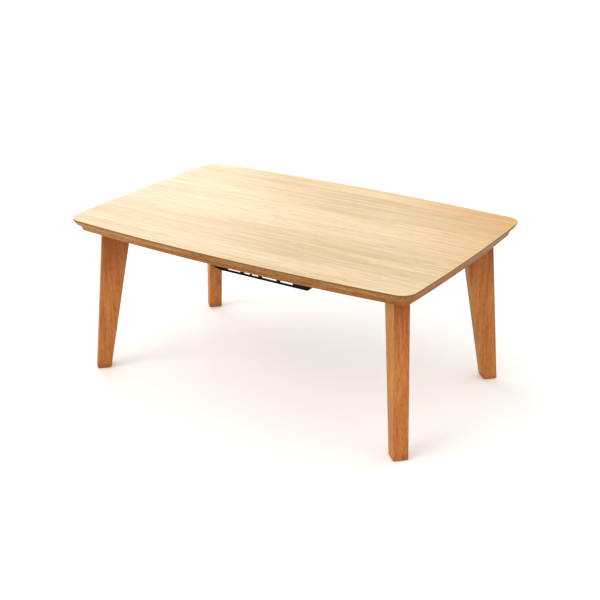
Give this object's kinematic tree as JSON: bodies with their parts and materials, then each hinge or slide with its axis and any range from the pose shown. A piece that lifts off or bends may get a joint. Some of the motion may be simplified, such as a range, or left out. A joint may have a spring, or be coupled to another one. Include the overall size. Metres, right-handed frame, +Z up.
{
  "type": "kotatsu table",
  "caption": "Low rectangular heated table with a bowed lift-off top, thin frame, splayed tapered legs and an electric heater under the frame.",
  "frame": {"origin": "on the floor, under the middle of the table", "axes": "+X along the long side, -Y towards the front, +Z up"},
  "size_m": [0.9, 0.5998, 0.39],
  "materials": {
    "oak_veneer": "pale oak veneer, clear satin lacquer",
    "edge_wood": "brown stained edge, satin lacquer",
    "backing_sheet": "thin brown balancing veneer",
    "pad_rubber": "soft black anti-slip rubber",
    "leg_wood": "brown stained rubberwood, satin lacquer",
    "frame_wood": "brown stained rubberwood, satin lacquer",
    "block_wood": "brown stained rubberwood, satin lacquer",
    "inner_wood": "plain light hardwood",
    "dowel_beech": "fluted beech",
    "glide_felt": "brown pressed felt",
    "zinc_steel": "zinc plated",
    "black_enamel": "baked black enamel",
    "pan_steel": "dark grey coated sheet",
    "black_plastic": "heat resistant moulding, fine grain",
    "terminal_plastic": "cream thermoset moulding",
    "fibre_pad": "pale fibre felt",
    "bright_aluminium": "bright rolled sheet",
    "quartz": "milky quartz",
    "filament_carbon": "woven carbon strip",
    "end_ceramic": "matt white steatite",
    "bracket_steel": "plain cold rolled sheet",
    "strap_brass": "plain brass",
    "thermostat_case": "drawn aluminium case",
    "fuse_case": "tinned case"
  },
  "bodies": {
    "frame": {"control_box": "black_plastic", "corner_block_back_left": "block_wood", "corner_block_back_right": "block_wood", "corner_block_front_left": "block_wood", "corner_block_front_right": "block_wood", "cross_rail_left": "inner_wood", "cross_rail_right": "inner_wood", "feed_straps": "strap_brass", "filament_back": "filament_carbon", "filament_front": "filament_carbon", "foot_glide_back_left": "glide_felt", "foot_glide_back_right": "glide_felt", "foot_glide_front_left": "glide_felt", "foot_glide_front_right": "glide_felt", "frame_dowels": "dowel_beech", "guard_back": "black_enamel", "guard_end": "black_enamel", "guard_floor": "black_enamel", "guard_front": "black_enamel", "heat_reflector": "bright_aluminium", "heater_pan": "pan_steel", "heater_screws": "zinc_steel", "heating_tube_back": "quartz", "heating_tube_front": "quartz", "inlet_pins": "strap_brass", "insulation_pad": "fibre_pad", "leg_back_left": "leg_wood", "leg_back_right": "leg_wood", "leg_bolts": "zinc_steel", "leg_front_left": "leg_wood", "leg_front_right": "leg_wood", "leg_inserts": "zinc_steel", "leg_washers": "zinc_steel", "link_strap": "strap_brass", "power_inlet": "black_plastic", "rail_back": "frame_wood", "rail_front": "frame_wood", "rail_left": "frame_wood", "rail_right": "frame_wood", "spring_washers": "zinc_steel", "stretcher_back": "inner_wood", "stretcher_front": "inner_wood", "terminal_block": "terminal_plastic", "thermal_fuse": "fuse_case", "thermostat": "thermostat_case", "top_pads": "pad_rubber", "tube_bracket_left": "bracket_steel", "tube_bracket_right": "bracket_steel", "tube_end_caps": "end_ceramic"},
    "top": {"top_board": "edge_wood", "top_veneer": "oak_veneer", "top_backing": "backing_sheet"}
  },
  "joints": [
    {"name": "top_lift", "type": "slide", "parent": "frame", "child": "top", "axis": [0, 0, 1], "range_m": [0, 0.1]}
  ]
}
